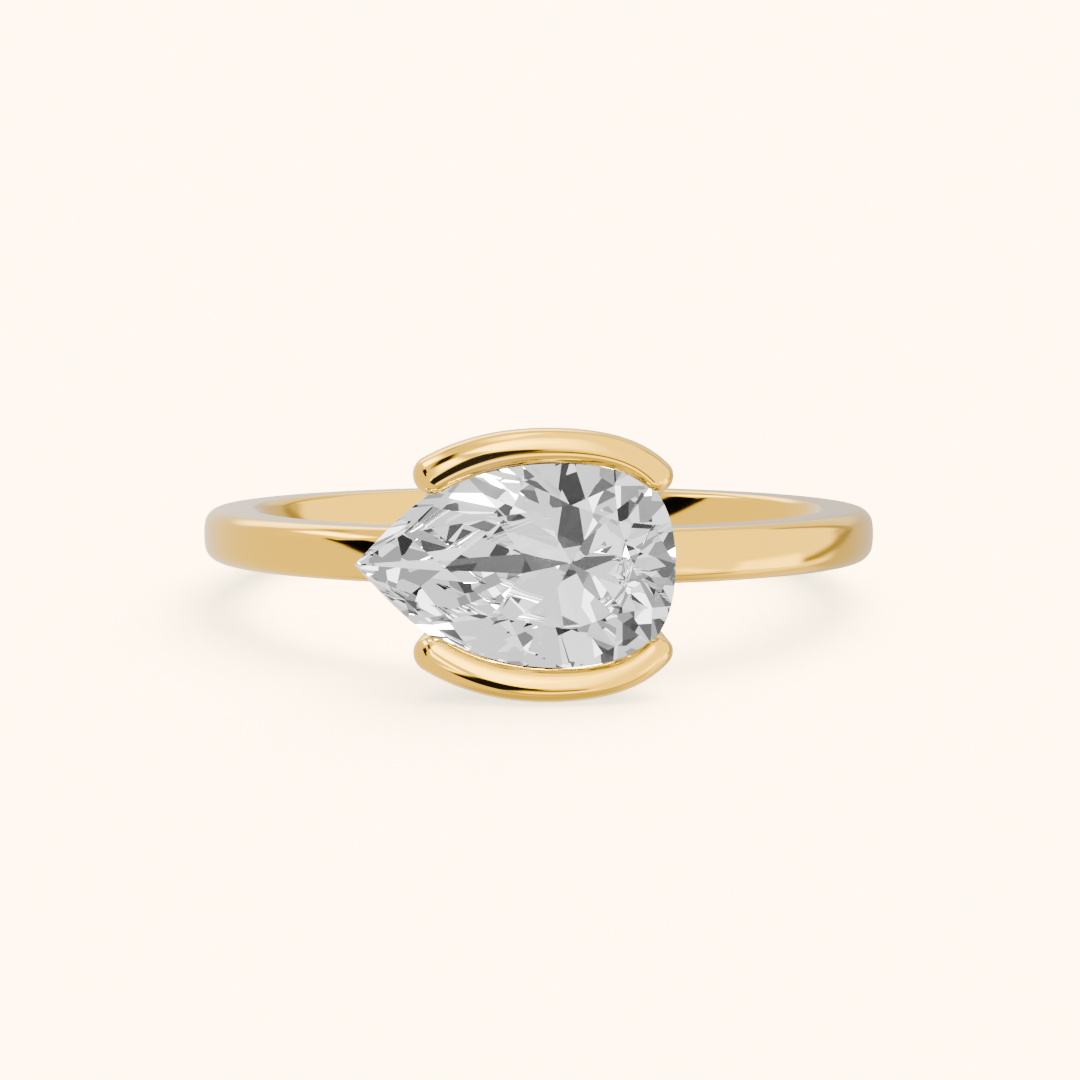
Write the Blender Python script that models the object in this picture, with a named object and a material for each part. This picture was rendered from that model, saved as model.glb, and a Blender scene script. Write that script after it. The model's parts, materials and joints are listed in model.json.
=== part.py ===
"""East west ring: a plain gold band with a pear-cut stone set sideways between two half-bezel bars.

The gold is one piece, as it is cast: the band, and a cup of two walls that lean out along the stone's long sides and
end in rounded bars. The stone is modelled lying flat, its table up and its culet over the origin, then stood on the
band. The whole ring then lies on its side, where it rests on the lower bar and the back of the band.

Lengths are in metres and +Z is up. The head faces -Y, the stone's tip points to -X and its round end to +X.
"""

import math

import bmesh
import bpy
from mathutils import Matrix, Vector
from mathutils.geometry import interpolate_bezier, intersect_plane_plane

MM = 0.001

# Band
FINGER_DIAMETER = 17.3 * MM
BAND_THICKNESS = 1.75 * MM
BAND_WIDTH = 1.6 * MM
BAND_OUTER_ROUND = 0.5 * MM
BAND_INNER_ROUND = 0.25 * MM

# Stone: its outline, seen from above the table
STONE_LENGTH = 9.0 * MM
STONE_WIDTH = 6.0 * MM
ROUND_END_REACH = 2.92 * MM  # from the culet to the round end
BELLY_SET_BACK = 0.4 * MM  # from the culet to the widest line, towards the tip
TIP_HALF_ANGLE = math.radians(47)
TIP_HANDLE = 0.33  # these four are the pull of the outline's curves, as shares of the length or width they span
SIDE_HANDLE = 0.55
SHOULDER_HANDLE = 0.60
ROUND_HANDLE = 0.82

# Stone: its depths and facets
CROWN_HEIGHT = 0.88 * MM
GIRDLE_THICKNESS = 0.2 * MM
PAVILION_DEPTH = 2.5 * MM
TABLE_SHARE = 0.58
STAR_SHARE = 0.45  # how far down the crown the star facets reach
LOWER_HALF_SHARE = 0.77  # how far down the pavilion the lower half facets reach
MAIN_ANGLES = (0, 45, 90, 140, 180)  # degrees round the culet, from the round end to the tip

# Head: how the stone stands on the band, and the bars that hold it
GIRDLE_ABOVE_BAND = 1.8 * MM
CULET_OFF_CENTRE = 0.92 * MM  # the culet stands this far from the band's middle, towards the round end
SEAT_GAP = 0.15 * MM  # clearance all round the stone
BAR_THICKNESS = 0.96 * MM  # beside the culet
BAR_TAPER = 0.033  # a bar thins by this share of the way it runs from the tip towards the round end
BAR_OVERLAP = 0.14 * MM  # how far a bar's inner edge comes in over the stone's edge
BAR_DOME = 0.5 * MM
BAR_FULLNESS = 2.26  # 2 is an ellipse, more is squarer
BAR_LEAN = math.radians(6.4)  # the bars lean in over the stone
BAR_TIP_REACH = 3.7 * MM  # from the culet to the bars' ends, along the stone
BAR_ROUND_REACH = 2.2 * MM
WALL_TOP_ABOVE_GIRDLE = 0.15 * MM  # the walls widen up to here, then run straight up to the bars' rounding
DOME_FOOT_ABOVE_GIRDLE = 0.35 * MM
RIM_ARCH_RADIUS = 11.2 * MM  # seen from the side, the rims bend round the finger
WALL_FOOT_LENGTH = 3.0 * MM  # the walls draw in to this, and to the band's width, where they meet the band
WALL_FOOT_THICKNESS = 0.6 * MM
WALL_FOOT_DEPTH = 0.85 * MM  # how far the walls go down into the band
WALL_FOOT_INSET = 0.05 * MM  # the walls' feet stay this far inside the band's sides

# How finely the round forms are cut
BAND_STEPS = 96
CORNER_STEPS = 5
GIRDLE_STEPS = 36  # for each side of the stone
BAR_STEPS = 20
BAR_END_STEPS = 7
DOME_STEPS = 6
DOME_TOP = math.radians(84)  # the bar's rounding stops here, in a flat as narrow as a hair

BAND_INNER_RADIUS = FINGER_DIAMETER / 2
BAND_OUTER_RADIUS = BAND_INNER_RADIUS + BAND_THICKNESS
GIRDLE_RADIUS = BAND_OUTER_RADIUS + GIRDLE_ABOVE_BAND
TIP_REACH = STONE_LENGTH - ROUND_END_REACH

GOLD = {"colour": (0.83, 0.60, 0.30), "metallic": 1.0, "roughness": 0.12}
CLEAR = {"colour": (0.97, 0.98, 1.0), "roughness": 0.0, "transmission": 1.0, "ior": 2.42}


def material(name, colour, roughness, metallic=0.0, transmission=0.0, ior=1.45):
    made = bpy.data.materials.new(name)
    made.use_nodes = True
    shader = made.node_tree.nodes["Principled BSDF"]
    shader.inputs["Base Color"].default_value = (*colour, 1.0)
    shader.inputs["Roughness"].default_value = roughness
    shader.inputs["Metallic"].default_value = metallic
    shader.inputs["Transmission Weight"].default_value = transmission
    shader.inputs["IOR"].default_value = ior
    made.diffuse_color = (*colour, 1.0)
    return made


def new_object(name, bm, smooth_angle=None):
    mesh = bpy.data.meshes.new(name)
    bm.to_mesh(mesh)
    bm.free()
    if smooth_angle is not None:
        mesh.shade_smooth()
        mesh.set_sharp_from_angle(angle=smooth_angle)
    made = bpy.data.objects.new(name, mesh)
    bpy.context.collection.objects.link(made)
    return made


def hide_as_guide(guide):
    guide.hide_render = True
    guide.display_type = "WIRE"


def side_outline():
    """One long side of the stone, tip to round end, as close points (x, y) round the culet."""
    half_width = STONE_WIDTH / 2
    tip = Vector((-TIP_REACH, 0))
    belly = Vector((-BELLY_SET_BACK, half_width))
    end = Vector((ROUND_END_REACH, 0))
    side_span = belly.x - tip.x
    round_span = end.x - belly.x
    away = Vector((math.cos(TIP_HALF_ANGLE), math.sin(TIP_HALF_ANGLE)))
    tip_handle = tip + away * TIP_HANDLE * side_span
    side_handle = belly - Vector((SIDE_HANDLE * side_span, 0))
    shoulder_handle = belly + Vector((SHOULDER_HANDLE * round_span, 0))
    round_handle = end + Vector((0, ROUND_HANDLE * half_width))
    side = interpolate_bezier(tip, tip_handle, side_handle, belly, 120)
    rounded = interpolate_bezier(belly, shoulder_handle, round_handle, end, 120)
    return [Vector(p) for p in side + rounded[1:]]


def place_on(line, reached):
    """The point where a line first satisfies reached(point), with the line's outward normal there."""
    for before, after in zip(line, line[1:]):
        low, high = reached(before), reached(after)
        if low <= 0 <= high or high <= 0 <= low:
            share = 0.0 if high == low else low / (low - high)
            run = (after - before).normalized()
            return before.lerp(after, share), Vector((-run.y, run.x))
    raise ValueError("the outline never gets there")


def girdle_place(degrees):
    """Where a ray from the culet meets the stone's outline, and the outline's outward normal there."""
    if degrees == 0:
        return Vector((ROUND_END_REACH, 0)), Vector((1, 0))
    if degrees == 180:
        return Vector((-TIP_REACH, 0)), Vector((-1, 0))
    ray = math.radians(abs(degrees))
    point, normal = place_on(side_outline(), lambda p: p.x * math.sin(ray) - p.y * math.cos(ray))
    if degrees < 0:
        return Vector((point.x, -point.y)), Vector((normal.x, -normal.y))
    return point, normal


def stretch_of(line, first, last):
    """The part of a line between two places along X."""
    inside = [p for p in line if first < p.x < last]
    start, _ = place_on(line, lambda p: p.x - first)
    stop, _ = place_on(line, lambda p: p.x - last)
    return [start, *inside, stop]


def even_places(line, count):
    """Evenly spaced (point, outward normal) pairs from one end of a line to the other."""
    travelled = [0.0]
    for before, after in zip(line, line[1:]):
        travelled.append(travelled[-1] + (after - before).length)
    places = []
    leg = 0
    for step in range(count + 1):
        target = travelled[-1] * step / count
        while leg < len(line) - 2 and travelled[leg + 1] < target:
            leg += 1
        share = (target - travelled[leg]) / (travelled[leg + 1] - travelled[leg])
        run = (line[leg + 1] - line[leg]).normalized()
        places.append((line[leg].lerp(line[leg + 1], share), Vector((-run.y, run.x))))
    return places


def facet(*points):
    """A facet's plane through three points, as (point, normal), its normal turned away from the stone's middle."""
    a, b, c = points
    normal = (b - a).cross(c - a).normalized()
    middle = Vector((0, 0, 0))
    return a, normal if normal.dot(a - middle) > 0 else -normal


def crease(one, two, height):
    """The point at a given height on the line where two facets meet."""
    origin, run = intersect_plane_plane(one[0], one[1], two[0], two[1])
    return origin + run * ((height - origin.z) / run.z)


def lifted(flat, height):
    return Vector((flat.x, flat.y, height))


def girdle_facets(angles, line, inner_ends, knee_height):
    """Main facets from a girdle line to their inner ends, the knees where neighbours meet, and the half facets."""
    places = [girdle_place(angle) for angle in angles]
    rim = [lifted(place, line) for place, _ in places]
    along = [Vector((-normal.y, normal.x, 0)) for _, normal in places]
    mains = [facet(start, start + run * MM, end) for start, run, end in zip(rim, along, inner_ends)]
    knees, halves = [], []
    for i, angle in enumerate(angles):
        j = (i + 1) % len(angles)
        step = (angles[j] - angle) % 360
        middle = (angle + step / 2 + 180) % 360 - 180
        halfway = lifted(girdle_place(middle)[0], line)
        knee = crease(mains[i], mains[j], knee_height)
        knees.append(knee)
        halves += [facet(knee, rim[i], halfway), facet(knee, halfway, rim[j])]
    return mains, knees, halves


def crown_facets(angles):
    """Main, star and upper half facets, between the table and the girdle's upper line."""
    line = GIRDLE_THICKNESS / 2
    top = line + CROWN_HEIGHT
    corners = [lifted(girdle_place(angle)[0] * TABLE_SHARE, top) for angle in angles]
    mains, knees, halves = girdle_facets(angles, line, corners, top - STAR_SHARE * CROWN_HEIGHT)
    stars = [facet(one, two, knee) for one, two, knee in zip(corners, corners[1:] + corners[:1], knees)]
    return mains + stars + halves


def pavilion_facets(angles):
    """Main and lower half facets, between the girdle's lower line and the culet."""
    line = -GIRDLE_THICKNESS / 2
    culet = Vector((0, 0, line - PAVILION_DEPTH))
    knee_height = line - LOWER_HALF_SHARE * PAVILION_DEPTH
    mains, _, halves = girdle_facets(angles, line, [culet] * len(angles), knee_height)
    return mains + halves


def cut_off(bm, point, normal):
    """Grind one facet: all that lies beyond the plane goes, and the cut is closed."""
    geometry = bm.verts[:] + bm.edges[:] + bm.faces[:]
    done = bmesh.ops.bisect_plane(
        bm, geom=geometry, dist=1e-7, plane_co=point, plane_no=normal, clear_outer=True
    )
    rim = [item for item in done["geom_cut"] if isinstance(item, bmesh.types.BMEdge)]
    if rim and any(edge.is_boundary for edge in rim):
        bmesh.ops.contextual_create(bm, geom=[edge for edge in rim if edge.is_boundary])


def cut_stone(grow=0.0):
    """The stone, its girdle from the outline and every facet ground in turn, or the same form grown by a clearance."""
    side = even_places(side_outline(), GIRDLE_STEPS)
    upper = [place for place, _ in side]
    lower = [Vector((p.x, -p.y)) for p in reversed(upper[1:-1])]
    outline = upper + lower
    blank_top = GIRDLE_THICKNESS / 2 + CROWN_HEIGHT + grow
    blank_bottom = -GIRDLE_THICKNESS / 2 - PAVILION_DEPTH - 2 * grow - MM
    bm = bmesh.new()
    bmesh.ops.create_cube(bm, size=1.0)
    bmesh.ops.scale(bm, vec=(4 * STONE_LENGTH, 4 * STONE_WIDTH, blank_top - blank_bottom), verts=bm.verts)
    bmesh.ops.translate(bm, vec=(0, 0, (blank_top + blank_bottom) / 2), verts=bm.verts)
    for before, after in zip(outline, outline[1:] + outline[:1]):
        run = (after - before).normalized()
        outward = Vector((-run.y, run.x, 0))
        cut_off(bm, lifted(before, 0) + outward * grow, outward)
    angles = [*MAIN_ANGLES, *(-a for a in reversed(MAIN_ANGLES[1:-1]))]
    for point, normal in crown_facets(angles) + pavilion_facets(angles):
        cut_off(bm, point + normal * grow, normal)
    bmesh.ops.remove_doubles(bm, verts=bm.verts, dist=1e-6)
    bmesh.ops.recalc_face_normals(bm, faces=bm.faces)
    return bm


def band_section():
    """The band's section as corners (radius, height): a rectangle with round corners, rounder outside."""
    half = BAND_WIDTH / 2
    corners = (
        (BAND_OUTER_RADIUS, -half, BAND_OUTER_ROUND, -90),
        (BAND_OUTER_RADIUS, half, BAND_OUTER_ROUND, 0),
        (BAND_INNER_RADIUS, half, BAND_INNER_ROUND, 90),
        (BAND_INNER_RADIUS, -half, BAND_INNER_ROUND, 180),
    )
    section = []
    for radius, height, fillet, start in corners:
        centre = Vector((radius, height))
        centre.x += fillet if radius == BAND_INNER_RADIUS else -fillet
        centre.y += fillet if height < 0 else -fillet
        for step in range(CORNER_STEPS + 1):
            turn = math.radians(start + 90 * step / CORNER_STEPS)
            section.append(centre + fillet * Vector((math.cos(turn), math.sin(turn))))
    return section


def make_band():
    bm = bmesh.new()
    section = [bm.verts.new((corner.x, 0, corner.y)) for corner in band_section()]
    edges = [bm.edges.new(pair) for pair in zip(section, section[1:] + section[:1])]
    bmesh.ops.spin(
        bm, geom=edges, cent=(0, 0, 0), axis=(0, 0, 1), angle=math.tau, steps=BAND_STEPS, use_merge=True
    )
    bmesh.ops.remove_doubles(bm, verts=bm.verts, dist=1e-6)
    bmesh.ops.recalc_face_normals(bm, faces=bm.faces)
    return bm


def arch_drop(x):
    """How far a rim that bends round the finger has fallen, at a place along the stone."""
    along_ring = x + CULET_OFF_CENTRE
    return RIM_ARCH_RADIUS - math.sqrt(RIM_ARCH_RADIUS**2 - along_ring**2)


def spine_of(line, thickness_at, overlap):
    """Evenly spaced (point, outward normal, half thickness) along the middle of a wall that stands beside a line."""
    spine = []
    for place, normal in even_places(line, BAR_STEPS):
        half = thickness_at(place.x) / 2
        spine.append((place + normal * (half - overlap), normal, half))
    return spine


def round_the_end(point, normal, half, first):
    """The places round one end of a wall, from the side that faces first to the other."""
    start = math.atan2(first.y, first.x)
    turns = [start - math.pi * step / BAR_END_STEPS for step in range(1, BAR_END_STEPS)]
    return [(point, normal, half, Vector((math.cos(turn), math.sin(turn)))) for turn in turns]


def wall_loop(bm, spine, foot, rise=0.0, share=1.0, lean=0.0, arched=True):
    """One level of a wall: a long loop with round ends, a share as thick as the spine says, tipped by its lean."""
    places = [(point, normal, half, normal) for point, normal, half in spine]
    places += round_the_end(*spine[-1], spine[-1][1])
    places += [(point, normal, half, -normal) for point, normal, half in reversed(spine)]
    places += round_the_end(*spine[0], -spine[0][1])
    loop = []
    for point, normal, half, away in places:
        across = share * half * away.dot(normal)
        shift = across * (math.cos(lean) - 1) - rise * math.sin(lean)
        flat = point + away * share * half + normal * shift
        height = foot + rise * math.cos(lean) + across * math.sin(lean)
        loop.append(bm.verts.new(lifted(flat, height - (arch_drop(flat.x) if arched else 0))))
    return [bm.edges.new(pair) for pair in zip(loop, loop[1:] + loop[:1])]


def foot_line(rim_line):
    """The line of a wall's rim drawn in, about its own middle, to the foot's length and the band's width."""
    middle = (BAR_ROUND_REACH - BAR_TIP_REACH) / 2
    drawn_in = WALL_FOOT_LENGTH / (BAR_ROUND_REACH + BAR_TIP_REACH)
    side = BAND_WIDTH / 2 - WALL_FOOT_INSET - WALL_FOOT_THICKNESS / 2
    narrowed = side / (STONE_WIDTH / 2)
    return [Vector((middle + (p.x - middle) * drawn_in, p.y * narrowed)) for p in rim_line]


def make_wall():
    """One wall of the cup: from its foot in the band, out along the stone's side, to the rounded bar at its rim."""
    rim_line = stretch_of(side_outline(), -BAR_TIP_REACH, BAR_ROUND_REACH)
    rim = spine_of(rim_line, lambda x: BAR_THICKNESS - BAR_TAPER * x, BAR_OVERLAP)
    foot = spine_of(foot_line(rim_line), lambda x: WALL_FOOT_THICKNESS, WALL_FOOT_THICKNESS / 2)
    side = DOME_FOOT_ABOVE_GIRDLE - WALL_TOP_ABOVE_GIRDLE
    bm = bmesh.new()
    loops = [
        wall_loop(bm, foot, -GIRDLE_ABOVE_BAND - WALL_FOOT_DEPTH, arched=False),
        wall_loop(bm, rim, DOME_FOOT_ABOVE_GIRDLE, rise=-side, lean=BAR_LEAN),
    ]
    for step in range(DOME_STEPS + 1):
        turn = DOME_TOP * step / DOME_STEPS
        share = math.cos(turn) ** (2 / BAR_FULLNESS)
        rise = BAR_DOME * math.sin(turn) ** (2 / BAR_FULLNESS)
        loops.append(wall_loop(bm, rim, DOME_FOOT_ABOVE_GIRDLE, rise=rise, share=share, lean=BAR_LEAN))
    for below, above in zip(loops, loops[1:]):
        bmesh.ops.bridge_loops(bm, edges=below + above)
    bmesh.ops.contextual_create(bm, geom=loops[0])
    bmesh.ops.contextual_create(bm, geom=loops[-1])
    bmesh.ops.recalc_face_normals(bm, faces=bm.faces)
    return bm


def on_the_band():
    """From the stone's own frame, table up, to its place on the band, table facing -Y."""
    return Matrix.Translation((CULET_OFF_CENTRE, -GIRDLE_RADIUS, 0)) @ Matrix.Rotation(math.pi / 2, 4, "X")


def rest_tilt(points):
    """How far the head tips up when the lower bar and the back of the band both touch the floor."""
    tilt = 0.0
    for _ in range(20):
        up = Vector((0, -math.sin(tilt), math.cos(tilt)))
        front = min((p for p in points if p.y < 0), key=lambda p: p.dot(up))
        back = min((p for p in points if p.y > 0), key=lambda p: p.dot(up))
        tilt = math.atan2(back.z - front.z, back.y - front.y)
    return tilt


def corners_of(*objects):
    bpy.context.view_layer.update()
    return [made.matrix_world @ vertex.co for made in objects for vertex in made.data.vertices]


def add_boolean(target, tool, operation):
    cut = target.modifiers.new(tool.name, "BOOLEAN")
    cut.object = tool
    cut.operation = operation
    cut.solver = "EXACT"
    cut.use_self = True  # by the walls' feet thin slivers of metal can just cross each other


def main():
    for old in list(bpy.data.objects):
        bpy.data.objects.remove(old, do_unlink=True)

    soft_edge = math.radians(35)
    mount = new_object("ring_mount", make_band(), soft_edge)
    stone = new_object("pear_stone", cut_stone())
    seat = new_object("seat_cutter", cut_stone(grow=SEAT_GAP))
    upper = new_object("upper_wall", make_wall(), soft_edge)
    lower_form = make_wall()
    bmesh.ops.scale(lower_form, vec=(1, -1, 1), verts=lower_form.verts)
    bmesh.ops.reverse_faces(lower_form, faces=lower_form.faces)
    lower = new_object("lower_wall", lower_form, soft_edge)
    for piece in (stone, seat, upper, lower):
        piece.matrix_world = on_the_band()
    for guide in (seat, upper, lower):
        hide_as_guide(guide)
    add_boolean(mount, upper, "UNION")
    add_boolean(mount, lower, "UNION")
    add_boolean(mount, seat, "DIFFERENCE")
    mount.data.materials.append(material("yellow_gold", **GOLD))
    stone.data.materials.append(material("clear_stone", **CLEAR))

    tilt = rest_tilt(corners_of(mount, lower))
    tipped = Matrix.Rotation(-tilt, 4, "X")
    reach = [tipped @ corner for corner in corners_of(mount, lower, upper, stone)]
    middle_y = (min(p.y for p in reach) + max(p.y for p in reach)) / 2
    floor_z = min(p.z for p in reach)
    ring = bpy.data.objects.new("ring_at_rest", None)
    bpy.context.collection.objects.link(ring)
    for piece in (mount, stone, seat, upper, lower):
        piece.parent = ring
    ring.rotation_euler = (-tilt, 0, 0)
    ring.location = (0, -middle_y, -floor_z)
    bpy.context.view_layer.update()
    centre = [f"{length / MM:.3f}" for length in ring.location]
    print(f"The head tips up by {math.degrees(tilt):.3f} degrees, with the band's centre at {centre} mm")


main()
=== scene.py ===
# %% [markdown]
# # An east west ring, polished gold with a pear-cut stone
#
# The ring lies on its side on a pale table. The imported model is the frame: it says where the ring rests and
# how large its box is. This lesson rebuilds the two visible pieces with finer forms than the frame needs,
# gives each its finish, and lights them as a jeweller's studio would: a pale tent with bright and dark
# cards that draw lines in the gold.

import json
import math

import bmesh
import bpy
from mathutils import Matrix, Vector
from mathutils.geometry import interpolate_bezier, intersect_plane_plane


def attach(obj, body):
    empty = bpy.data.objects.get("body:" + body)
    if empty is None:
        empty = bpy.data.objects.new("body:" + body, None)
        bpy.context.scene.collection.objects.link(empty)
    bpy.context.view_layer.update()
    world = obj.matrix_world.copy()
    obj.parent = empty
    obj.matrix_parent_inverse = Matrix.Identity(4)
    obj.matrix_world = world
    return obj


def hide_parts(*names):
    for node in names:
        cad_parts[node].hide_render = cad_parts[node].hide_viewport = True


MM = 0.001

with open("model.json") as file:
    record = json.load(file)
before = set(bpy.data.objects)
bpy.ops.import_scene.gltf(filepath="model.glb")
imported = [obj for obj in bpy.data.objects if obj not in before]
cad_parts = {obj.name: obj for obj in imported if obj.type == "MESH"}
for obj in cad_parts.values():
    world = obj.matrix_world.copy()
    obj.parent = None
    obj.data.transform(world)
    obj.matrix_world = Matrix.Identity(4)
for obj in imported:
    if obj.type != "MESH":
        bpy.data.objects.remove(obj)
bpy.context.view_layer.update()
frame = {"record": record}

# %% [markdown]
# ## Where the ring rests
#
# Everything is drawn in the ring's own frame first: the finger hole's axis along Z, the head towards -Y.
# The record says how that axis leans when the ring lies on the table, and where the hole's middle is, so
# one matrix carries each finished mesh to its place. Building upright and placing once keeps every size
# readable.

# %% Find the ring's place from the record
mounts = {mount["name"]: mount for mount in frame["record"]["mounts"]}
openings = {opening["name"]: opening for opening in frame["record"]["physics"]["openings"]}

finger_axis = Vector(mounts["band_side_upper"]["axis"])
side_middle = (Vector(mounts["band_side_upper"]["pos_m"]) + Vector(mounts["band_side_lower"]["pos_m"])) / 2
hole_low, hole_high = openings["finger_hole_middle"]["box_m"]
centre_y = (hole_low[1] + hole_high[1]) / 2
centre_z = side_middle.z - (centre_y - side_middle.y) * finger_axis.y / finger_axis.z
ring_centre = Vector((0, centre_y, centre_z))
rest_tilt = math.atan2(finger_axis.y, finger_axis.z)
ring_to_world = Matrix.Translation(ring_centre) @ Matrix.Rotation(-rest_tilt, 4, "X")
print(f"The head tips up {math.degrees(rest_tilt):.2f} degrees, centre at {ring_centre / MM} mm")

# %% [markdown]
# ## The camera
#
# The photograph looks at the ring almost level with its middle plane, from far enough away that the near
# and far halves of the band keep nearly the same width. A long lens at 120 mm gives that perspective. The
# small shift only puts the ring's middle where the photograph has it, a little above the picture's own
# middle.

# %% Set up the camera
CAMERA_DISTANCE = 120 * MM
CAMERA_ABOVE_RING_PLANE = math.radians(4.3)
LENS = 128.2
SENSOR = 36.0
NEAREST_VIEW = 1 * MM
FARTHEST_VIEW = 20
PHOTO_SIDE = 1080
RING_CENTRE_IN_PHOTO = (538.7, 532.0)

elevation = rest_tilt + CAMERA_ABOVE_RING_PLANE
towards_camera = Vector((0, -math.cos(elevation), math.sin(elevation)))
camera_data = bpy.data.cameras.new("photo_camera")
camera_data.lens = LENS
camera_data.sensor_width = SENSOR
camera_data.clip_start = NEAREST_VIEW
camera_data.clip_end = FARTHEST_VIEW
camera_data.shift_x = (PHOTO_SIDE / 2 - RING_CENTRE_IN_PHOTO[0]) / PHOTO_SIDE
camera_data.shift_y = (RING_CENTRE_IN_PHOTO[1] - PHOTO_SIDE / 2) / PHOTO_SIDE
camera = bpy.data.objects.new("photo_camera", camera_data)
bpy.context.collection.objects.link(camera)
camera.location = ring_centre + towards_camera * CAMERA_DISTANCE
camera.rotation_euler = (-towards_camera).to_track_quat("-Z", "Y").to_euler()
bpy.context.scene.camera = camera
print(f"Camera {math.degrees(elevation):.1f} degrees above the table")

# %% [markdown]
# ## Small helpers
#
# Each piece starts as a bmesh in a frame that suits its making. `new_piece` moves its vertices to their
# place in the world, so that the object itself stays at the origin, unturned and unscaled, and `report`
# prints what came of it.


# %% Helpers for finished pieces
def new_piece(name, bm, to_world=Matrix.Identity(4)):
    bmesh.ops.transform(bm, matrix=to_world, verts=bm.verts)
    mesh = bpy.data.meshes.new(name)
    bm.to_mesh(mesh)
    bm.free()
    piece = bpy.data.objects.new(name, mesh)
    bpy.context.collection.objects.link(piece)
    return piece


def report(piece):
    piece.data.calc_loop_triangles()
    sizes = [round(side / MM, 2) for side in piece.dimensions]
    print(f"{piece.name}: {len(piece.data.loop_triangles)} triangles, {sizes} mm")


def lifted(flat, height):
    return Vector((flat.x, flat.y, height))


# %% [markdown]
# ## The stone's outline
#
# A pear cut is half brilliant, half marquise: round at one end, drawn to a tip at the other. Its girdle
# line could be arcs, but two Bezier curves on each side, tip to belly and belly to round end, follow the
# photograph's shoulders more closely. The culet sits under the round end's centre, and all the outline's
# lengths are measured from it.

# %% Draw the outline
STONE_LENGTH = 9.0 * MM
STONE_WIDTH = 6.0 * MM
ROUND_END_REACH = 2.92 * MM
BELLY_SET_BACK = 0.4 * MM
TIP_HALF_ANGLE = math.radians(47)
TIP_HANDLE = 0.33
SIDE_HANDLE = 0.55
SHOULDER_HANDLE = 0.60
ROUND_HANDLE = 0.82
CURVE_POINTS = 120
TIP_REACH = STONE_LENGTH - ROUND_END_REACH


def side_outline():
    """One long side of the stone, tip to round end, as close points round the culet."""
    half_width = STONE_WIDTH / 2
    tip = Vector((-TIP_REACH, 0))
    belly = Vector((-BELLY_SET_BACK, half_width))
    end = Vector((ROUND_END_REACH, 0))
    side_span = belly.x - tip.x
    round_span = end.x - belly.x
    away = Vector((math.cos(TIP_HALF_ANGLE), math.sin(TIP_HALF_ANGLE)))
    tip_handle = tip + away * TIP_HANDLE * side_span
    side_handle = belly - Vector((SIDE_HANDLE * side_span, 0))
    shoulder_handle = belly + Vector((SHOULDER_HANDLE * round_span, 0))
    round_handle = end + Vector((0, ROUND_HANDLE * half_width))
    side = interpolate_bezier(tip, tip_handle, side_handle, belly, CURVE_POINTS)
    rounded = interpolate_bezier(belly, shoulder_handle, round_handle, end, CURVE_POINTS)
    return [Vector(p) for p in side + rounded[1:]]


print("Outline points on one side:", len(side_outline()))

# %% [markdown]
# ## Reading places off a line
#
# The facets, the girdle and the bars all take their places from the outline. One helper finds the point
# where a line first meets a condition, the other walks along it in equal steps. Both also give the outward
# normal, because a facet and a wall have to know which way is out.


# %% Places on a line
def place_on(line, reached):
    """The point where a line first satisfies reached(point), with the line's outward normal there."""
    for before, after in zip(line, line[1:]):
        low, high = reached(before), reached(after)
        if low <= 0 <= high or high <= 0 <= low:
            share = 0.0 if high == low else low / (low - high)
            run = (after - before).normalized()
            return before.lerp(after, share), Vector((-run.y, run.x))
    raise ValueError("the outline never gets there")


def even_places(line, count):
    """Evenly spaced (point, outward normal) pairs from one end of a line to the other."""
    travelled = [0.0]
    for before, after in zip(line, line[1:]):
        travelled.append(travelled[-1] + (after - before).length)
    places = []
    leg = 0
    for step in range(count + 1):
        target = travelled[-1] * step / count
        while leg < len(line) - 2 and travelled[leg + 1] < target:
            leg += 1
        share = (target - travelled[leg]) / (travelled[leg + 1] - travelled[leg])
        run = (line[leg + 1] - line[leg]).normalized()
        places.append((line[leg].lerp(line[leg + 1], share), Vector((-run.y, run.x))))
    return places


half_way, _ = even_places(side_outline(), 2)[1]
print(f"Half way along one side: {half_way.x / MM:.2f}, {half_way.y / MM:.2f} mm from the culet")

# %% [markdown]
# ## Facets as planes
#
# A cutter grinds flats, so each facet here is a plane. Placing planes, not vertices, keeps every facet truly
# flat, and flat facets are what make the stone break up the light. Three helpers are enough: a place on the
# girdle, a plane through three points, and the point at a given height on the crease of two planes.


# %% Facet helpers
def girdle_place(degrees):
    """Where a ray from the culet meets the stone's outline, and the outline's outward normal there."""
    if degrees == 0:
        return Vector((ROUND_END_REACH, 0)), Vector((1, 0))
    if degrees == 180:
        return Vector((-TIP_REACH, 0)), Vector((-1, 0))
    ray = math.radians(abs(degrees))
    point, normal = place_on(side_outline(), lambda p: p.x * math.sin(ray) - p.y * math.cos(ray))
    if degrees < 0:
        return Vector((point.x, -point.y)), Vector((normal.x, -normal.y))
    return point, normal


def facet(*points):
    """A facet's plane through three points, as (point, normal), its normal turned out of the stone."""
    a, b, c = points
    normal = (b - a).cross(c - a).normalized()
    return a, normal if normal.dot(a) > 0 else -normal


def crease(one, two, height):
    """The point at a given height on the line where two facets meet."""
    origin, run = intersect_plane_plane(one[0], one[1], two[0], two[1])
    return origin + run * ((height - origin.z) / run.z)


print(f"Beside the culet the girdle is {girdle_place(90)[0].y / MM:.2f} mm out")

# %% [markdown]
# ## Laying out the facets
#
# The main facets run from the girdle to the table above and to the culet below. Where two neighbouring mains
# meet, a knee point is chosen on their crease, and the half facets pass through that knee and the girdle.
# Star facets join the table's corners to the knees.

# %% Facet layout
CROWN_HEIGHT = 0.88 * MM
GIRDLE_THICKNESS = 0.2 * MM
PAVILION_DEPTH = 2.5 * MM
TABLE_SHARE = 0.58
STAR_SHARE = 0.45
LOWER_HALF_SHARE = 0.77
MAIN_ANGLES = (0, 45, 90, 140, 180)


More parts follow.
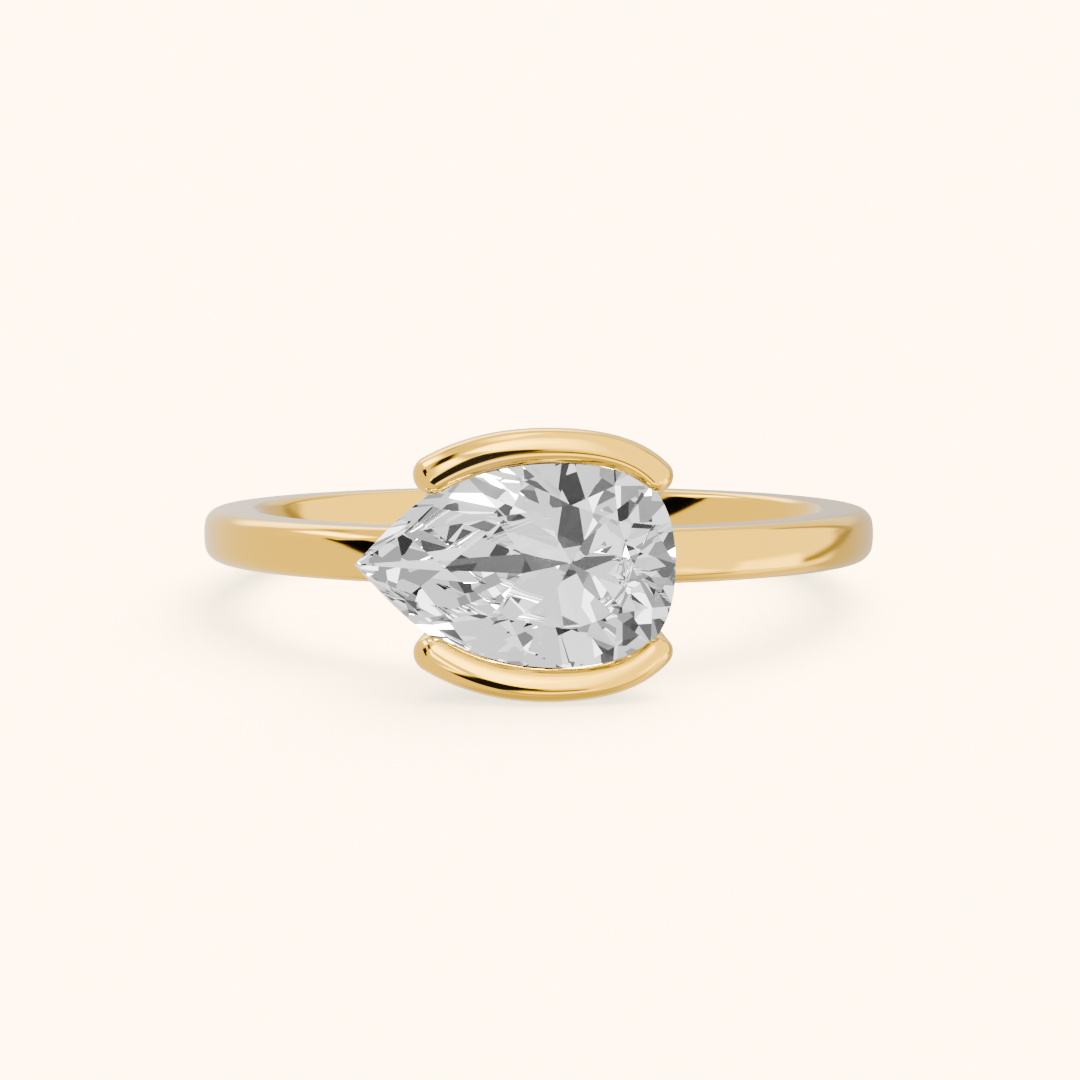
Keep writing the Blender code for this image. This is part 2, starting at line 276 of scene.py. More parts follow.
def girdle_facets(angles, line, inner_ends, knee_height):
    """Main facets from a girdle line to their inner ends, the knees between them, and the half facets."""
    places = [girdle_place(angle) for angle in angles]
    rim = [lifted(place, line) for place, _ in places]
    along = [Vector((-normal.y, normal.x, 0)) for _, normal in places]
    mains = [facet(start, start + run * MM, end) for start, run, end in zip(rim, along, inner_ends)]
    knees, halves = [], []
    for i, angle in enumerate(angles):
        j = (i + 1) % len(angles)
        step = (angles[j] - angle) % 360
        middle = (angle + step / 2 + 180) % 360 - 180
        halfway = lifted(girdle_place(middle)[0], line)
        knee = crease(mains[i], mains[j], knee_height)
        knees.append(knee)
        halves += [facet(knee, rim[i], halfway), facet(knee, halfway, rim[j])]
    return mains, knees, halves


def crown_facets(angles):
    line = GIRDLE_THICKNESS / 2
    top = line + CROWN_HEIGHT
    corners = [lifted(girdle_place(angle)[0] * TABLE_SHARE, top) for angle in angles]
    mains, knees, halves = girdle_facets(angles, line, corners, top - STAR_SHARE * CROWN_HEIGHT)
    stars = [facet(one, two, knee) for one, two, knee in zip(corners, corners[1:] + corners[:1], knees)]
    return mains + stars + halves


def pavilion_facets(angles):
    line = -GIRDLE_THICKNESS / 2
    culet = Vector((0, 0, line - PAVILION_DEPTH))
    knee_height = line - LOWER_HALF_SHARE * PAVILION_DEPTH
    mains, _, halves = girdle_facets(angles, line, [culet] * len(angles), knee_height)
    return mains + halves


angles_round = [*MAIN_ANGLES, *(-a for a in reversed(MAIN_ANGLES[1:-1]))]
print("Facets to cut:", len(crown_facets(angles_round)) + len(pavilion_facets(angles_round)), "and a table")

# %% [markdown]
# ## Cutting the stone
#
# The blank is a plain block. `bisect_plane` with `clear_outer` is the grinding wheel: it removes all that
# lies beyond a facet's plane, and the open rim is closed with one face. The same cutter with a little
# growth makes the seat that is cut into the gold, so that stone and seat can never disagree.

# %% Cut the stone and its seat
GIRDLE_STEPS = 48
SAME_POINT = 1e-6
ON_THE_CUT = 1e-7
UPRIGHT = 0.01


def cut_off(bm, point, normal):
    geometry = bm.verts[:] + bm.edges[:] + bm.faces[:]
    done = bmesh.ops.bisect_plane(
        bm, geom=geometry, dist=ON_THE_CUT, plane_co=point, plane_no=normal, clear_outer=True
    )
    rim = [item for item in done["geom_cut"] if isinstance(item, bmesh.types.BMEdge) and item.is_boundary]
    if rim:
        bmesh.ops.contextual_create(bm, geom=rim)


def cut_stone(grow=0.0):
    upper = [place for place, _ in even_places(side_outline(), GIRDLE_STEPS)]
    outline = upper + [Vector((p.x, -p.y)) for p in reversed(upper[1:-1])]
    blank_top = GIRDLE_THICKNESS / 2 + CROWN_HEIGHT + grow
    blank_bottom = -GIRDLE_THICKNESS / 2 - PAVILION_DEPTH - 2 * grow - MM
    bm = bmesh.new()
    bmesh.ops.create_cube(bm, size=1.0)
    bmesh.ops.scale(bm, vec=(4 * STONE_LENGTH, 4 * STONE_WIDTH, blank_top - blank_bottom), verts=bm.verts)
    bmesh.ops.translate(bm, vec=(0, 0, (blank_top + blank_bottom) / 2), verts=bm.verts)
    for before, after in zip(outline, outline[1:] + outline[:1]):
        run = (after - before).normalized()
        outward = Vector((-run.y, run.x, 0))
        cut_off(bm, lifted(before, 0) + outward * grow, outward)
    for point, normal in crown_facets(angles_round) + pavilion_facets(angles_round):
        cut_off(bm, point + normal * grow, normal)
    bmesh.ops.remove_doubles(bm, verts=bm.verts, dist=SAME_POINT)
    bmesh.ops.recalc_face_normals(bm, faces=bm.faces)
    for face in bm.faces:
        face.smooth = abs(face.normal.z) < UPRIGHT
    return bm


GIRDLE_RADIUS = 12.2 * MM
CULET_OFF_CENTRE = 0.92 * MM
culet_place = Matrix.Translation((CULET_OFF_CENTRE, -GIRDLE_RADIUS, 0))
stone_to_ring = culet_place @ Matrix.Rotation(math.pi / 2, 4, "X")

stone = new_piece("pear_cut_stone", cut_stone(), ring_to_world @ stone_to_ring)
report(stone)

# %% [markdown]
# ## The band
#
# The band has flat sides, softened edges, and two faces that swell a little: outside for the look, inside
# so that it slides over a knuckle. The swell is only hundredths of a millimetre, but a mirror shows it: on
# a truly flat face every reflection would be an upright stripe, and here they sweep. One section, spun a
# full turn about the finger's axis, gives the band with no seam once `use_merge` joins the last step to the
# first.

# %% Spin the band
BAND_INNER_RADIUS = 8.65 * MM
BAND_THICKNESS = 1.75 * MM
BAND_WIDTH = 1.6 * MM
BAND_OUTER_ROUND = 0.5 * MM
BAND_INNER_ROUND = 0.25 * MM
OUTER_DOME_RADIUS = 2.4 * MM
INNER_DOME_RADIUS = 3.0 * MM
BAND_STEPS = 288
CORNER_STEPS = 10
FACE_STEPS = 8
BAND_OUTER_RADIUS = BAND_INNER_RADIUS + BAND_THICKNESS


def domed_face(middle, outward, dome, edge):
    """One face of the section, lower edge to upper, as (radius, height): a dome between two roundings."""
    rise = BAND_WIDTH / 2 - edge
    join = math.asin(rise / (dome - edge))
    edge_radius = middle - outward * (dome - (dome - edge) * math.cos(join))
    points = []
    for step in range(CORNER_STEPS):
        turn = -math.pi / 2 + (math.pi / 2 - join) * step / CORNER_STEPS
        points.append((edge_radius + outward * edge * math.cos(turn), edge * math.sin(turn) - rise))
    for step in range(FACE_STEPS + 1):
        turn = join * (2 * step / FACE_STEPS - 1)
        points.append((middle - outward * dome * (1 - math.cos(turn)), dome * math.sin(turn)))
    return points + [(radius, -height) for radius, height in reversed(points[:CORNER_STEPS])]


def make_band():
    bm = bmesh.new()
    outside = domed_face(BAND_OUTER_RADIUS, 1, OUTER_DOME_RADIUS, BAND_OUTER_ROUND)
    inside = domed_face(BAND_INNER_RADIUS, -1, INNER_DOME_RADIUS, BAND_INNER_ROUND)
    corners = [bm.verts.new((radius, 0, height)) for radius, height in outside + inside[::-1]]
    edges = [bm.edges.new(pair) for pair in zip(corners, corners[1:] + corners[:1])]
    bmesh.ops.spin(
        bm, geom=edges, cent=(0, 0, 0), axis=(0, 0, 1), angle=math.tau, steps=BAND_STEPS, use_merge=True
    )
    bmesh.ops.remove_doubles(bm, verts=bm.verts, dist=SAME_POINT)
    bmesh.ops.recalc_face_normals(bm, faces=bm.faces)
    return bm


print(f"Band {2 * BAND_INNER_RADIUS / MM:.1f} mm inside, {2 * BAND_OUTER_RADIUS / MM:.1f} mm outside")

# %% [markdown]
# ## The half-bezel bars
#
# Each bar is the rounded rim of a thin wall that leans out from the band along one long side of the stone.
# Seen from the side the rims follow the ring's own curve, so they stand highest in the middle and fall away
# to both ends, which is why their highlights change along their length. Everything about a wall is measured
# from one spine: points along its middle, each with its outward normal and half the wall's thickness.

# %% The walls' middle line
GIRDLE_ABOVE_BAND = GIRDLE_RADIUS - BAND_OUTER_RADIUS
BAR_THICKNESS = 0.96 * MM
BAR_TAPER = 0.033
BAR_OVERLAP = 0.14 * MM
BAR_TIP_REACH = 3.7 * MM
BAR_ROUND_REACH = 2.2 * MM
RIM_ARCH_RADIUS = 11.2 * MM
BAR_STEPS = 72


def stretch_of(line, first, last):
    """The part of a line between two places along X."""
    inside = [p for p in line if first < p.x < last]
    start, _ = place_on(line, lambda p: p.x - first)
    stop, _ = place_on(line, lambda p: p.x - last)
    return [start, *inside, stop]


def arch_drop(x):
    """How far a rim that follows the ring's curve has fallen, at a place along the stone."""
    along_ring = x + CULET_OFF_CENTRE
    return RIM_ARCH_RADIUS - math.sqrt(RIM_ARCH_RADIUS**2 - along_ring**2)


def spine_of(line, thickness_at, overlap):
    """Evenly spaced (point, outward normal, half thickness) along the middle of a wall beside a line."""
    spine = []
    for place, normal in even_places(line, BAR_STEPS):
        half = thickness_at(place.x) / 2
        spine.append((place + normal * (half - overlap), normal, half))
    return spine


print(f"Towards the stone's tip the rims fall {arch_drop(-BAR_TIP_REACH) / MM:.2f} mm")

# %% [markdown]
# ## One level of a wall
#
# Each level runs along one face of the wall, round its end, back along the other face and round the other
# end. The share says how thick it is, so a dome is only a matter of letting the share shrink while the level
# rises, and the lean tips the whole wall outwards.

# %% One level of a wall
BAR_END_STEPS = 24


def round_the_end(point, normal, half, first):
    """The places round one end of a wall, from the side that faces first to the other."""
    start = math.atan2(first.y, first.x)
    turns = [start - math.pi * step / BAR_END_STEPS for step in range(1, BAR_END_STEPS)]
    return [(point, normal, half, Vector((math.cos(turn), math.sin(turn)))) for turn in turns]


def wall_loop(bm, spine, foot, rise=0.0, share=1.0, lean=0.0, arched=True):
    """One level of a wall: a long loop with round ends, as thick as a share of the spine, and leaning."""
    places = [(point, normal, half, normal) for point, normal, half in spine]
    places += round_the_end(*spine[-1], spine[-1][1])
    places += [(point, normal, half, -normal) for point, normal, half in reversed(spine)]
    places += round_the_end(*spine[0], -spine[0][1])
    loop = []
    for point, normal, half, away in places:
        across = share * half * away.dot(normal)
        shift = across * (math.cos(lean) - 1) - rise * math.sin(lean)
        flat = point + away * share * half + normal * shift
        height = foot + rise * math.cos(lean) + across * math.sin(lean)
        loop.append(bm.verts.new(lifted(flat, height - (arch_drop(flat.x) if arched else 0))))
    return [bm.edges.new(pair) for pair in zip(loop, loop[1:] + loop[:1])]


print("Points in one level:", 2 * (BAR_STEPS + BAR_END_STEPS))

# %% [markdown]
# ## Stacking the levels
#
# A wall is a stack of such loops: one at its foot inside the band, then up to the rim, then a dome of
# shrinking loops. `bridge_loops` skins the stack. The last loop has no width left, so `remove_doubles`
# closes it to a crest line: a flat cap there would show as a kink in the polish.

# %% Loft the walls
BAR_DOME = 0.5 * MM
BAR_FULLNESS = 2.26
BAR_LEAN = math.radians(6.4)
WALL_TOP_ABOVE_GIRDLE = 0.15 * MM
DOME_FOOT_ABOVE_GIRDLE = 0.35 * MM
WALL_FOOT_LENGTH = 3.0 * MM
WALL_FOOT_THICKNESS = 0.6 * MM
WALL_FOOT_DEPTH = 0.85 * MM
WALL_FOOT_INSET = 0.05 * MM
DOME_STEPS = 20


def foot_line(rim_line):
    """The line of a wall's rim drawn in, about its own middle, to the foot's length and the band's width."""
    middle = (BAR_ROUND_REACH - BAR_TIP_REACH) / 2
    drawn_in = WALL_FOOT_LENGTH / (BAR_ROUND_REACH + BAR_TIP_REACH)
    side = BAND_WIDTH / 2 - WALL_FOOT_INSET - WALL_FOOT_THICKNESS / 2
    narrowed = side / (STONE_WIDTH / 2)
    return [Vector((middle + (p.x - middle) * drawn_in, p.y * narrowed)) for p in rim_line]


def make_wall(side):
    rim_line = stretch_of(side_outline(), -BAR_TIP_REACH, BAR_ROUND_REACH)
    rim = spine_of(rim_line, lambda x: BAR_THICKNESS - BAR_TAPER * x, BAR_OVERLAP)
    foot = spine_of(foot_line(rim_line), lambda x: WALL_FOOT_THICKNESS, WALL_FOOT_THICKNESS / 2)
    straight = DOME_FOOT_ABOVE_GIRDLE - WALL_TOP_ABOVE_GIRDLE
    bm = bmesh.new()
    loops = [
        wall_loop(bm, foot, -GIRDLE_ABOVE_BAND - WALL_FOOT_DEPTH, arched=False),
        wall_loop(bm, rim, DOME_FOOT_ABOVE_GIRDLE, rise=-straight, lean=BAR_LEAN),
    ]
    for step in range(DOME_STEPS + 1):
        turn = math.pi / 2 * step / DOME_STEPS
        share = math.cos(turn) ** (2 / BAR_FULLNESS)
        rise = BAR_DOME * math.sin(turn) ** (2 / BAR_FULLNESS)
        loops.append(wall_loop(bm, rim, DOME_FOOT_ABOVE_GIRDLE, rise=rise, share=share, lean=BAR_LEAN))
    for below, above in zip(loops, loops[1:]):
        bmesh.ops.bridge_loops(bm, edges=below + above)
    bmesh.ops.contextual_create(bm, geom=loops[0])
    bmesh.ops.remove_doubles(bm, verts=bm.verts, dist=SAME_POINT)
    if side < 0:
        bmesh.ops.scale(bm, vec=(1, -1, 1), verts=bm.verts)
    bmesh.ops.recalc_face_normals(bm, faces=bm.faces)
    return bm


print("Each wall is skinned over", DOME_STEPS + 3, "loops")

# %% [markdown]
# ## One casting
#
# Band and walls are one piece of gold. Boolean modifiers join the walls to the band and cut the stone's
# seat with the grown stone; the result is then kept as a plain mesh, and the guides are removed.

# %% Join the casting
SEAT_GAP = 0.02 * MM
SOFT_EDGE = math.radians(32)


def add_boolean(target, tool, operation):
    cut = target.modifiers.new(tool.name, "BOOLEAN")
    cut.object = tool
    cut.operation = operation
    cut.solver = "EXACT"


mount = new_piece("gold_mount", make_band())
guides = [
    new_piece("upper_wall", make_wall(1), stone_to_ring),
    new_piece("lower_wall", make_wall(-1), stone_to_ring),
    new_piece("seat_cutter", cut_stone(SEAT_GAP), stone_to_ring),
]
for guide, operation in zip(guides, ("UNION", "UNION", "DIFFERENCE")):
    add_boolean(mount, guide, operation)
depsgraph = bpy.context.evaluated_depsgraph_get()
joined = bpy.data.meshes.new_from_object(mount.evaluated_get(depsgraph))
mount.modifiers.clear()
mount.data = joined
joined.name = "gold_mount"
for guide in guides:
    bpy.data.objects.remove(guide, do_unlink=True)
joined.transform(ring_to_world)
joined.shade_smooth()
joined.set_sharp_from_angle(angle=SOFT_EDGE)
report(mount)

# %% [markdown]
# ## Gold
#
# Eighteen carat gold, buffed to a mirror. Its colour is all in the reflection, so the shader is metallic
# with a warm base colour. Even a fine polish leaves a trace: faint drifts in gloss where the buff lingered,
# and hairlines too small to see one by one. A node group makes both, so that another metal could use it
# with its own values.

# %% The polish group
DRIFT_SCALE = 260
DRIFT_DETAIL = 3
HAIRLINE_SCALE = (2000, 2000, 16000)
HAIRLINE_DETAIL = 2


def new_group(name, inputs, outputs):
    """A shader node group with sockets given as name: kind, and its input and output nodes."""
    group = bpy.data.node_groups.new(name, "ShaderNodeTree")
    for in_out, sockets in (("INPUT", inputs), ("OUTPUT", outputs)):
        for socket, kind in sockets.items():
            group.interface.new_socket(socket, in_out=in_out, socket_type="NodeSocket" + kind)
    return group, group.nodes.new("NodeGroupInput"), group.nodes.new("NodeGroupOutput")


def add_math(nodes, links, operation, *terms):
    """The result of a Math node whose terms are sockets to link or plain numbers."""
    node = nodes.new("ShaderNodeMath")
    node.operation = operation
    for socket, term in zip(node.inputs, terms):
        if isinstance(term, bpy.types.NodeSocket):
            links.new(term, socket)
        else:
            socket.default_value = term
    return node.outputs[0]


def make_polish_group():
    inputs = {"Gloss": "Float", "Drift": "Float", "Hairline": "Float"}
    group, start, end = new_group("buffed_polish", inputs, {"Roughness": "Float", "Height": "Float"})
    nodes, links = group.nodes, group.links
    place = nodes.new("ShaderNodeTexCoord")
    drift = nodes.new("ShaderNodeTexNoise")
    drift.inputs["Scale"].default_value = DRIFT_SCALE
    drift.inputs["Detail"].default_value = DRIFT_DETAIL
    links.new(place.outputs["Object"], drift.inputs["Vector"])
    swing = (drift.outputs["Fac"], start.outputs["Drift"], start.outputs["Gloss"])
    links.new(add_math(nodes, links, "MULTIPLY_ADD", *swing), end.inputs["Roughness"])
    stretch = nodes.new("ShaderNodeMapping")
    stretch.inputs["Scale"].default_value = HAIRLINE_SCALE
    links.new(place.outputs["Object"], stretch.inputs["Vector"])
    hair = nodes.new("ShaderNodeTexNoise")
    hair.inputs["Scale"].default_value = 1.0
    hair.inputs["Detail"].default_value = HAIRLINE_DETAIL
    links.new(stretch.outputs["Vector"], hair.inputs["Vector"])
    scaled = add_math(nodes, links, "MULTIPLY", hair.outputs["Fac"], start.outputs["Hairline"])
    links.new(scaled, end.inputs["Height"])
    return group


polish_group = make_polish_group()
print("Sockets of the polish group:", [socket.name for socket in polish_group.interface.items_tree])

# %% [markdown]
# ## The metal itself
#
# The material holds the shader and says how much of the shared polish it wants: a gloss near a mirror's, a
# slight drift, and the hairlines as a faint bump.

# %% The gold
GOLD_COLOUR = (1.0, 0.628, 0.125, 1)
POLISH = {"Gloss": 0.06, "Drift": 0.02, "Hairline": 1.0}
HAIRLINE_STRENGTH = 0.02
HAIRLINE_DEPTH = 0.002 * MM


def new_material(name):
    made = bpy.data.materials.new(name)
    made.use_nodes = True
    return made, made.node_tree.nodes, made.node_tree.links, made.node_tree.nodes["Principled BSDF"]


def make_gold():
    made, nodes, links, shader = new_material("polished_yellow_gold")
    shader.inputs["Base Color"].default_value = GOLD_COLOUR
    shader.inputs["Metallic"].default_value = 1.0
    polish = nodes.new("ShaderNodeGroup")
    polish.node_tree = polish_group
    for name, value in POLISH.items():
        polish.inputs[name].default_value = value
    links.new(polish.outputs["Roughness"], shader.inputs["Roughness"])
    bump = nodes.new("ShaderNodeBump")
    bump.inputs["Strength"].default_value = HAIRLINE_STRENGTH
    bump.inputs["Distance"].default_value = HAIRLINE_DEPTH
    links.new(polish.outputs["Height"], bump.inputs["Height"])
    links.new(bump.outputs["Normal"], shader.inputs["Normal"])
    return made


mount.data.materials.clear()
mount.data.materials.append(make_gold())
print(mount.name, "wears", mount.data.materials[0].name)

# %% [markdown]
# ## The stone's material
#
# A clear brilliant bends light hard, with an index of 2.42, and the facets do the rest: light enters the
# crown, is thrown back and forth by the pavilion and leaves again as grey, white and dark patches. Each
# bounce splits a patch into smaller ones, so a real stone ends in glitter too fine for a picture. Here a
# path that has entered may meet four faces; at the next one the stone is see-through and the light leaves,
# which keeps the patches as large as they look. The specular tint holds back what the stone's surface
# mirrors when seen face on, so that no veil lies over the pattern inside.

# %% The stone
STONE_INDEX = 2.42
SURFACE_GLINT = (0.2, 0.2, 0.2, 1)
INNER_BOUNCES = 4


def make_clear_stone():
    made, nodes, links, shader = new_material("clear_brilliant_stone")
    shader.inputs["Base Color"].default_value = (1, 1, 1, 1)
    shader.inputs["Roughness"].default_value = 0.0
    shader.inputs["IOR"].default_value = STONE_INDEX
    shader.inputs["Transmission Weight"].default_value = 1.0
    shader.inputs["Specular Tint"].default_value = SURFACE_GLINT
    path = nodes.new("ShaderNodeLightPath")
    held = add_math(nodes, links, "LESS_THAN", path.outputs["Ray Depth"], INNER_BOUNCES + 0.5)
    links.new(held, shader.inputs["Alpha"])
    return made


stone.data.materials.append(make_clear_stone())
print(stone.name, "wears", stone.data.materials[0].name)

# %% [markdown]
# ## The table
#
# A pale matt table, large enough that its edge never shows. Part of its brightness is a faint glow of its
# own, which stands for the light that a white studio sends in from everywhere: the ring's shadow stays soft
# and never turns dark. Glow and lamp light together come to exactly the cream of the backdrop, so table and
# backdrop meet without a line.

# %% The table
TABLE_RADIUS = 1.5
TABLE_SIDES = 64
TABLE_PAINT = (0.9, 0.9, 0.9, 1)
TABLE_ROUGHNESS = 0.6
TABLE_GLOW = (0.853, 0.975, 0.891, 1)

table_bm = bmesh.new()
bmesh.ops.create_circle(table_bm, cap_ends=True, segments=TABLE_SIDES, radius=TABLE_RADIUS)
table = new_piece("table", table_bm)
table_material, _, _, table_shader = new_material("pale_table")
table_shader.inputs["Base Color"].default_value = TABLE_PAINT
table_shader.inputs["Roughness"].default_value = TABLE_ROUGHNESS
table_shader.inputs["Specular IOR Level"].default_value = 0.0
table_shader.inputs["Emission Color"].default_value = TABLE_GLOW
table_shader.inputs["Emission Strength"].default_value = 1.0
table.data.materials.append(table_material)
print(f"Table {2 * TABLE_RADIUS:.0f} m across, glowing {TABLE_GLOW[:3]}")

# %% [markdown]
# ## The studio
#
# Polished metal and a cut stone show nothing but their surroundings, so the surroundings are the finish. A
# photographer who lights jewellery tries one set for the metal and another for the stone and puts the two
# exposures together. So does this world, which is painted by direction alone. The gold sees a tent with
# bright and dark cards round it, where azimuth and elevation say which part of a rounded edge mirrors each
# card. Light that comes out of the stone sees grey panels hung without order, with three small lamps among
# them for the glints. The table sees a dim sky with one broad high lamp behind the ring to the right, which
# lays the shadow to the front and left. The camera sees plain cream.
#
# For the same reason the gold and the table are left out of mirror images: both exposures show only the far
# studio. The Mix Shader nodes at the end choose between the four, so each ray works out only the one that
# it needs.

# %% Keep mirror images to the studio
for piece in (mount, table):
    piece.visible_glossy = False
    piece.visible_transmission = False
    print(piece.name, "is left out of mirror images")

# %% [markdown]
# ## A card to hang
#
# A real card is a sheet of board on a stand. Seen from the ring it is just a patch of directions, so one
# node group measures how far a direction lies from the card's middle, sideways and up or down, and turns
# that into a mask. A soft edge stands for a card hung close, where the ring can't see its border sharply.


# %% The card group
def towards(azimuth, elevation):
    """A direction: azimuth 0 points to the camera, 90 to the picture's right; elevation counts upwards."""
    a, e = math.radians(azimuth), math.radians(elevation)
    return Vector((math.sin(a) * math.cos(e), -math.cos(a) * math.cos(e), math.sin(e)))


def make_card_group():
    """A card that hangs round the ring: 1 where a direction meets it, 0 elsewhere, soft at its edge."""
    vectors = {"Direction": "Vector", "Middle": "Vector", "Right": "Vector", "Up": "Vector"}
    sizes = {"Half Width": "Float", "Half Height": "Float", "Softness": "Float"}
    group, start, end = new_group("studio_card", vectors | sizes, {"Mask": "Float"})
    nodes, links = group.nodes, group.links
    dots = {}
    for name in ("Middle", "Right", "Up"):
        dot = nodes.new("ShaderNodeVectorMath")
        dot.operation = "DOT_PRODUCT"
        links.new(start.outputs["Direction"], dot.inputs[0])
        links.new(start.outputs[name], dot.inputs[1])
        dots[name] = dot.outputs["Value"]
    masks = []
    for name, size in (("Right", "Half Width"), ("Up", "Half Height")):
        angle = add_math(nodes, links, "ARCTAN2", dots[name], dots["Middle"])
        outer = add_math(nodes, links, "ADD", start.outputs[size], start.outputs["Softness"])
        inner = add_math(nodes, links, "SUBTRACT", start.outputs[size], start.outputs["Softness"])
        ramp = nodes.new("ShaderNodeMapRange")
        ramp.interpolation_type = "SMOOTHSTEP"
        links.new(add_math(nodes, links, "ABSOLUTE", angle), ramp.inputs["Value"])
        links.new(outer, ramp.inputs["From Min"])
        links.new(inner, ramp.inputs["From Max"])
        masks.append(ramp.outputs["Result"])
    links.new(add_math(nodes, links, "MULTIPLY", *masks), end.inputs["Mask"])
    return group


card_group = make_card_group()
print("Sockets of the card group:", [socket.name for socket in card_group.interface.items_tree])

# %% [markdown]
# ## Grey panels for the stone
#
# A cut stone looks crisp when each facet shows one flat tone, from near black to white. An even tent would
# leave it a blank, and a few cards would leave most facets alike. A Voronoi texture on the direction gives
# panels without order, and a ramp in steps gives each a shade by its share: a tenth is near black, a third
# light grey, a few are white.

# %% The panel group
# share of the panels from here on, shade
PANEL_SHADES = ((0, 0.04), (0.1, 0.12), (0.25, 0.35), (0.42, 0.7), (0.75, 0.95), (0.93, 1.8))


def make_panel_group():
    """Grey panels hung round the stone without order: each direction falls on one, and gets its shade."""
    inputs = {"Direction": "Vector", "Shift": "Vector", "Scale": "Float"}
    group, start, end = new_group("grey_panels", inputs, {"Shade": "Color"})
    nodes, links = group.nodes, group.links
    moved = nodes.new("ShaderNodeVectorMath")
    moved.operation = "ADD"
    links.new(start.outputs["Direction"], moved.inputs[0])
    links.new(start.outputs["Shift"], moved.inputs[1])
    cells = nodes.new("ShaderNodeTexVoronoi")
    links.new(moved.outputs["Vector"], cells.inputs["Vector"])
    links.new(start.outputs["Scale"], cells.inputs["Scale"])
    one = nodes.new("ShaderNodeSeparateColor")
    links.new(cells.outputs["Color"], one.inputs["Color"])
    ramp = nodes.new("ShaderNodeValToRGB")
    ramp.color_ramp.interpolation = "CONSTANT"
    steps = ramp.color_ramp.elements
    steps.remove(steps[1])
    for place, shade in PANEL_SHADES:
        step = steps[0] if place == 0 else steps.new(place)
        step.position = place
        step.color = (shade, shade, shade, 1)
    links.new(one.outputs["Red"], ramp.inputs["Fac"])
    links.new(ramp.outputs["Color"], end.inputs["Shade"])
    return group


panel_group = make_panel_group()
print("Grey panels in", len(PANEL_SHADES), "shades")

# %% [markdown]
# ## What hangs where
#
# Later cards hang in front of earlier ones. The broad ones come first: a wall to the right, glows behind
# and in front, and the key light high on the left. Then the dark cards, which draw the wedge on the band
# and the black lines in the bars, each with a bright stripe beside it, because a mirror only looks polished
# where bright meets dark at a sharp border. Sizes and places are in degrees, and a roll above 0 lifts the
# end where the azimuth is greater.

# %% Cards and lamps
LAMP = 30.0

# name: azimuth, elevation, roll, half width, half height, softness, grey or colour
CARDS = {
    "under_the_table": (0, -90, 0, 26, 26, 8, 0.65),
    "ceiling": (0, 90, 0, 20, 20, 11, 2.5),
    "right_wall": (66, 20, 0, 60, 75, 3, 1.36),
    "right_back": (152, -15, 0, 32, 24, 5, 0.68),
    "right_back_line": (118, -9, 27, 19, 3, 2.5, 0.42),
    "right_back_upright": (134, 20, 0, 4, 20, 3, 0.5),
    "under_front": (30, -56, 0, 34, 7, 3, 0.65),
    "low_corner": (55, -25, -42, 11, 5, 4, 2.0),
    "low_strip": (86, -21, 5, 14, 11, 3, 2.15),
    "left_back_glow": (-162, 30, 0, 22, 12, 6, 2.2),
    "front_glow": (-2, 25, 0, 20, 32, 10, 2.3),
    "key_light": (-17, 28, -35, 18, 16, 5, 3.1),
    "side_above": (-80, 34, 13, 32, 13, 2, 1.0),
    "side_glow": (-97, 41, 0, 16, 6, 4, 3.5),
    "side_line": (-132, 47, 20, 7, 2.5, 2, 0.55),
    "dark_side": (-61, 12, -42, 15, 8, 1.5, 0.01),
    "dark_side_tail": (-77, 17.5, -40, 7, 1.6, 1.2, 0.03),
    "upper_field": (-38, 25.5, -41, 27, 4.5, 2, 0.95),
    "lower_field": (-32, 2, -40, 22, 11, 2, 1.0),
    "upper_streak": (-52.5, 34.5, -50, 12, 4.5, 2.5, 0.03),
    "upper_stripe": (-31, 11, -57, 14, 3.5, 2, 3.0),
    "lower_stripe": (-28, -10, 40, 10, 3, 1.5, 2.4),
    "dark_front": (-18, -18, -38, 12, 16, 2.5, 0.03),
    "dark_lens": (-10, -9, -38, 12, 6.5, 2.5, 0.03),
    "front_line": (6, -22, -15, 12, 3.5, 2, 0.2),
    "low_glow": (8, -37, 0, 14, 6, 3, 1.8),
}
STONE_CARDS = {
    "light_left": (-60, 40, 0, 12, 9, 1, LAMP),
    "light_right": (50, 35, 0, 10, 9, 1, LAMP),
    "light_low": (-20, -30, 0, 10, 8, 1, LAMP),
}
TABLE_CARDS = {
    "high_lamp": (140, 65, 0, 30, 30, 12, (12.0, 7.3, 4.0)),
}
print(len(CARDS), "cards for the gold,", len(STONE_CARDS), "lamps for the stone")

# %% [markdown]
# ## Laying the cards over each other
#
# A photographer moves real cards by hand. Here each one is laid over the picture so far with a Mix node, as
# coloured paper would be: where its mask is 1, its shade hides what is behind. A roll turns the card about
# the direction of its own middle.


# %% Lay the cards
def hang_cards(nodes, links, place, behind, cards):
    """Paint cards over what is behind them, and return the picture's colour."""
    last = behind
    for name, (azimuth, height, roll, wide, high, soft, shade) in cards.items():
        middle = towards(azimuth, height)
        right = towards(azimuth + 90, 0)
        up = middle.cross(right)
        turn = Matrix.Rotation(math.radians(roll), 3, middle)
        colour = shade if isinstance(shade, tuple) else (shade, shade, shade)
        card = nodes.new("ShaderNodeGroup")
        card.node_tree = card_group
        card.label = name
        links.new(place.outputs["Generated"], card.inputs["Direction"])
        card.inputs["Middle"].default_value = middle
        card.inputs["Right"].default_value = turn @ right
        card.inputs["Up"].default_value = turn @ up
        card.inputs["Half Width"].default_value = math.radians(wide)
        card.inputs["Half Height"].default_value = math.radians(high)
        card.inputs["Softness"].default_value = math.radians(soft)
        mix = nodes.new("ShaderNodeMix")
        mix.data_type = "RGBA"
        links.new(card.outputs["Mask"], mix.inputs["Factor"])
        links.new(last, mix.inputs["A"])
        mix.inputs["B"].default_value = (*colour, 1)
        last = mix.outputs["Result"]
    return last


